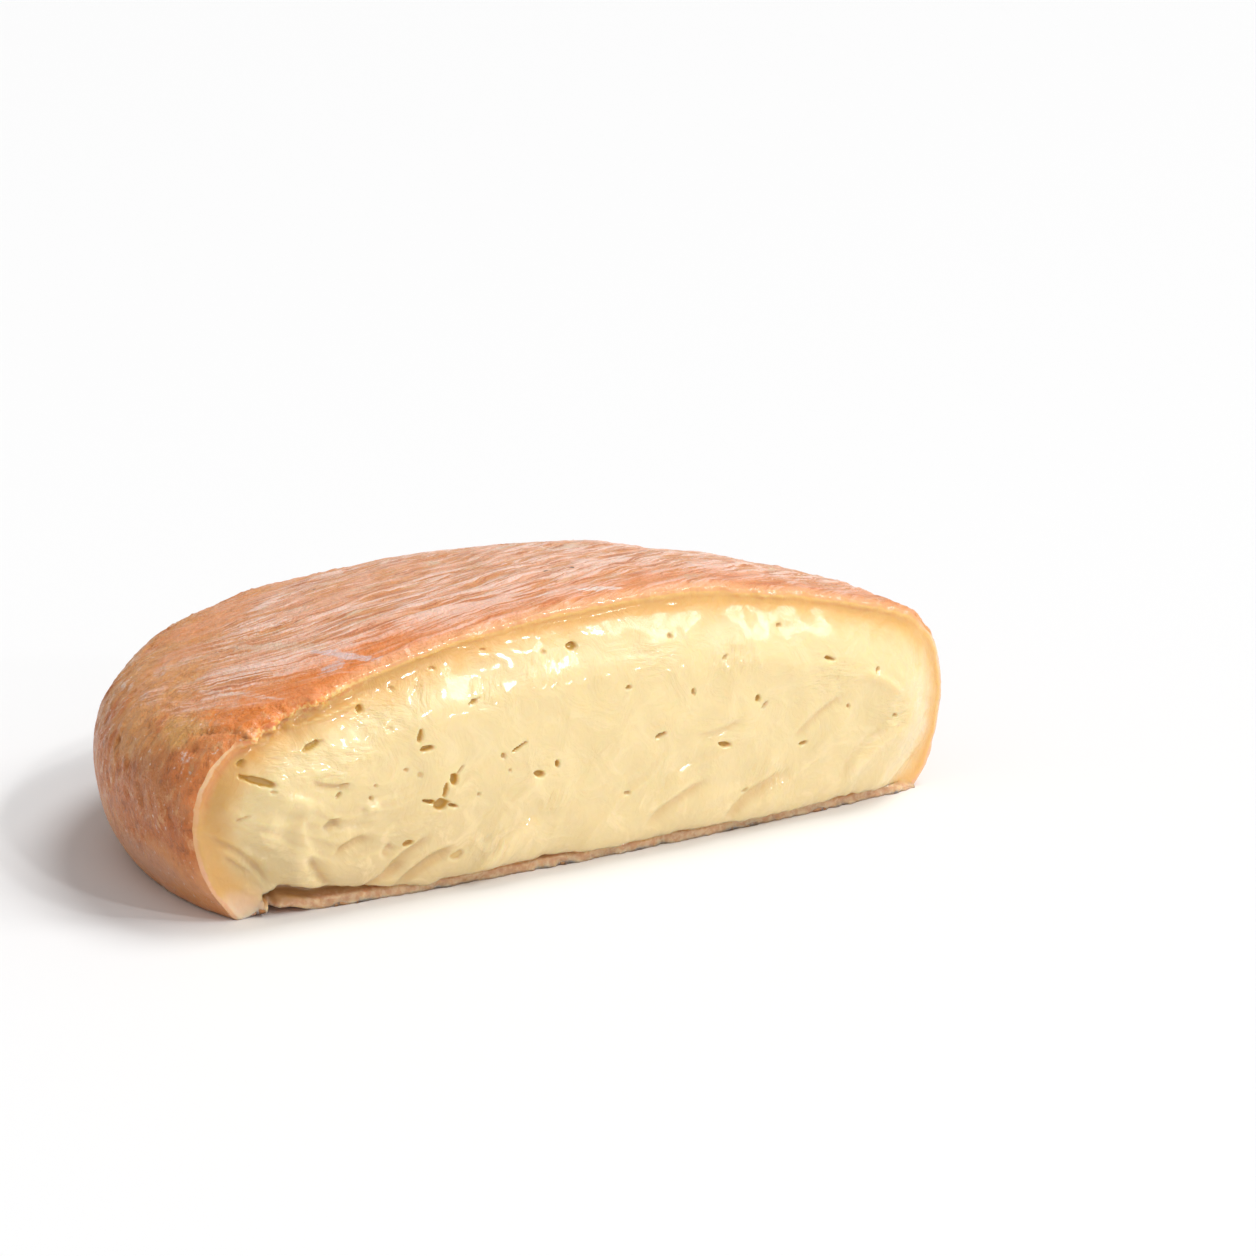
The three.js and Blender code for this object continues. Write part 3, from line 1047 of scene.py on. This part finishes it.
def paste_colour(f, place, x, z, fine):
    """Cream paste, ripe and ochre near the rind, with the cut rind, the ledge, folds and eyes; painted
    shade lower down, under the crumbly lip and in the creases, and a painted highlight on the ridges.
    """
    depth = f.attribute("under_rind")
    over_ledge = f.attribute("over_ledge")
    fold = f.attribute("fold")
    wobble = f.grain(place, 6, 3)
    swirl = f.grain(place, 8, 4, 0.6, 1.5)
    # Darker towards the bottom of the cut, more so at the left: painted shade where the bulging paste
    # turns down away from the light.
    low = f.rise(z + wobble * 14, 38, 14) * f.rise(x, -10, -50, 0.3, 1)
    colour = f.mix(low, PASTE_CREAM, PASTE_LOW_SHADE)
    colour = f.mix(f.rise(swirl, 0.5, 0.68, 0, 0.6), colour, PASTE_PALE)
    ripe = depth + (wobble - 0.5) * 5
    colour = f.mix(f.rise(ripe, 10, 3, 0, 0.8), colour, RIPE_BAND)
    # The band under the top rim is the ripe layer. Towards the left it turns darker, partly as painted
    # shade under the overhanging crumbly lip.
    band = f.rise(depth + fine * 0.8, 1.2, 2.4) * f.rise(depth + wobble * 2, 7, 4.5) * f.rise(z, 33, 38)
    band_colour = f.mix(f.rise(x, -20, -50), RIPE_BAND, RIPE_AND_LIP_SHADE)
    colour = f.mix(band * f.rise(x, -20, -50, 0.6, 0.8), colour, band_colour)
    # At the left end near the rind: ripe colour darkened with painted shade under the crumbly lip.
    side_end = f.rise(x + wobble * 6, -64, -80)
    colour = f.mix(f.rise(ripe, 12, 3, 0, 0.8) * side_end * f.rise(z, 14, 26, 0.5, 1), colour, RIPE_AND_LIP_SHADE)
    # Painted shade in the paste's creases and a painted highlight on its ridges, following the fold
    # relief.
    colour = f.mix(f.rise(fold, -0.2, -1.0, 0, 0.4), colour, PASTE_CREASE_SHADE)
    colour = f.mix(f.rise(fold, 0.4, 1.2, 0, 0.5), colour, PASTE_PALE)
    corner = f.rise(z + wobble * 5, 10, 4) * f.rise(x + wobble * 4, -71, -75)
    colour = f.mix(corner * 0.8, colour, CORNER_CREAM)
    upper = f.rise(z, 20, 28)
    edge = f.rise(depth + (wobble - 0.5) * 2, 3.8, 1.8) * upper * f.rise(x, -70, -78)
    colour = f.mix(edge * 0.8, colour, RIPE_EDGE)
    line = f.rise(depth + (wobble - 0.5) * 1.8 + fine * 0.6, 1.3, 0.8)
    faded = f.rise(z + wobble * 8, 14, 20) * f.rise(z + wobble * 8, 32, 26)
    line_colour = f.mix(upper, RIND_LINE_LOW, RIND_LINE)
    line_colour = f.mix(f.rise(z, 34, 38), line_colour, RIND_LINE_TOP)
    colour = f.mix(line * (1 - faded * 0.5), colour, line_colour)
    crumbled = f.rise(z, 35, 39) * f.rise(x, -50, -62)
    torn = f.rise(depth + (fine - 0.5) * 3 + (wobble - 0.5) * 3, 4, 1.5) * crumbled
    colour = f.mix(torn * 0.9, colour, f.mix(f.rise(fine, 0.44, 0.56), RIPE_EDGE, CRUMB_YELLOW))
    colour = f.mix(f.rise(depth + (fine - 0.5) * 2.4, 1.2, 0.3) * crumbled * 0.6, colour, TOP_ORANGE)
    lip = f.rise(z + wobble, LEDGE_LIP + 1.2, LEDGE_LIP)
    ledge = f.mix(f.rise(fine + wobble * 0.5, 0.6, 0.9), LEDGE_PINK, LEDGE_PALE)
    ledge = f.mix(lip, LEDGE_SHADE, ledge)
    colour = f.mix(f.rise(over_ledge, 0.4, -0.3), colour, ledge)
    return f.mix(f.rise(f.attribute("eye"), 0.2, 1.0, 0, 0.85), colour, EYE_OCHRE), swirl


def paste_finish():
    """Pale moist paste with a fine wet skin."""
    f = Finish("soft_paste")
    place = f.place()
    x, _, z = f.split(place)
    fine = f.grain(place, 1.2, 3)
    colour, swirl = paste_colour(f, place, x, z, fine)
    level = f.grain(f.joined(x / 3, 0, (z + x * 0.12) / 0.8), 1, 2, 0.5, 0.8)
    steep = f.grain(f.joined((x * 0.9 - z * 0.45) / 0.8, 0, (z * 0.9 + x * 0.45) / 3), 1, 2, 0.5, 0.6)
    in_level = f.attribute("level_ripples")
    in_steep = f.attribute("steep_ripples")
    rippled = f.rise(in_level + in_steep, 0.05, 0.5)
    strokes = level * in_level + steep * in_steep
    wet = f.rise(level, 0.5, 0.62) * in_level + f.rise(steep, 0.5, 0.62) * in_steep
    film = f.rise(f.grain(place, 2.4, 3), 0.4, 0.6, 0.3, 0.7) * (1 - rippled) + wet + rippled * 0.2
    bumps = f.bump(swirl, 0.5)
    bumps = f.bump(strokes, 0.35, bumps)
    bumps = f.bump(fine, 0.08, bumps)
    return f.surface(
        {
            "Base Color": colour,
            "Roughness": f.rise(fine, 0.3, 0.7, 0.36, 0.48),
            "Normal": bumps,
            "Subsurface Weight": 0.85,
            "Subsurface Radius": (1.0, 0.75, 0.4),
            "Subsurface Scale": 0.0022,
            "Coat Weight": film,
            "Coat Roughness": 0.08,
        }
    )


# ---------------------------------------------------------------------------------------------------
# Stage


def floor():
    finish = Finish("pale_floor")
    bm = bmesh.new()
    bmesh.ops.create_circle(bm, cap_ends=True, segments=96, radius=6)
    mesh = bpy.data.meshes.new("floor")
    bm.to_mesh(mesh)
    bm.free()
    mesh.materials.append(finish.surface({"Base Color": (0.86, 0.86, 0.86, 1), "Roughness": 0.7}))
    stage = bpy.data.objects.new("floor", mesh)
    bpy.context.scene.collection.objects.link(stage)


def aim(thing, position, target):
    thing.location = position
    thing.rotation_euler = (Vector(target) - Vector(position)).to_track_quat("-Z", "Y").to_euler()


def far_light(name, azimuth, elevation, softness, strength):
    """A distant light. Azimuth is counted from +X towards +Y."""
    azimuth = math.radians(azimuth)
    elevation = math.radians(elevation)
    level = math.cos(elevation)
    source = Vector((level * math.cos(azimuth), level * math.sin(azimuth), math.sin(elevation)))
    data = bpy.data.lights.new(name, "SUN")
    data.angle = math.radians(softness)
    data.energy = strength
    lamp = bpy.data.objects.new(name, data)
    bpy.context.scene.collection.objects.link(lamp)
    aim(lamp, source, (0, 0, 0))


def camera():
    azimuth = math.radians(33.5)
    elevation = math.radians(14.7)
    distance = 0.953
    target = Vector((0.0195, -0.0364, 0.042))
    towards = Vector(
        (
            math.sin(azimuth) * math.cos(elevation),
            math.cos(azimuth) * math.cos(elevation),
            -math.sin(elevation),
        )
    )
    data = bpy.data.cameras.new("camera")
    data.lens = 129
    data.sensor_width = 36
    holder = bpy.data.objects.new("camera", data)
    bpy.context.scene.collection.objects.link(holder)
    aim(holder, target - towards * distance, target)
    bpy.context.scene.camera = holder


def studio():
    far_light("key", 8, 60, 24, 1.4)
    far_light("side", -32, 42, 20, 0.8)
    far_light("fill", -110, 30, 40, 0.3)
    far_light("sparkle", -50, 48, 4, 0.36)
    far_light("left_sparkle", -74, 42, 4, 0.42)
    far_light("low_sparkle", -58, 16, 3, 0.16)
    world = bpy.data.worlds.new("studio")
    world.use_nodes = True
    world.node_tree.nodes["Background"].inputs["Color"].default_value = (1, 1, 1, 1)
    world.node_tree.nodes["Background"].inputs["Strength"].default_value = 0.39
    bpy.context.scene.world = world
    bpy.context.scene.view_settings.view_transform = "Standard"


camera()
studio()
floor()
cheese()
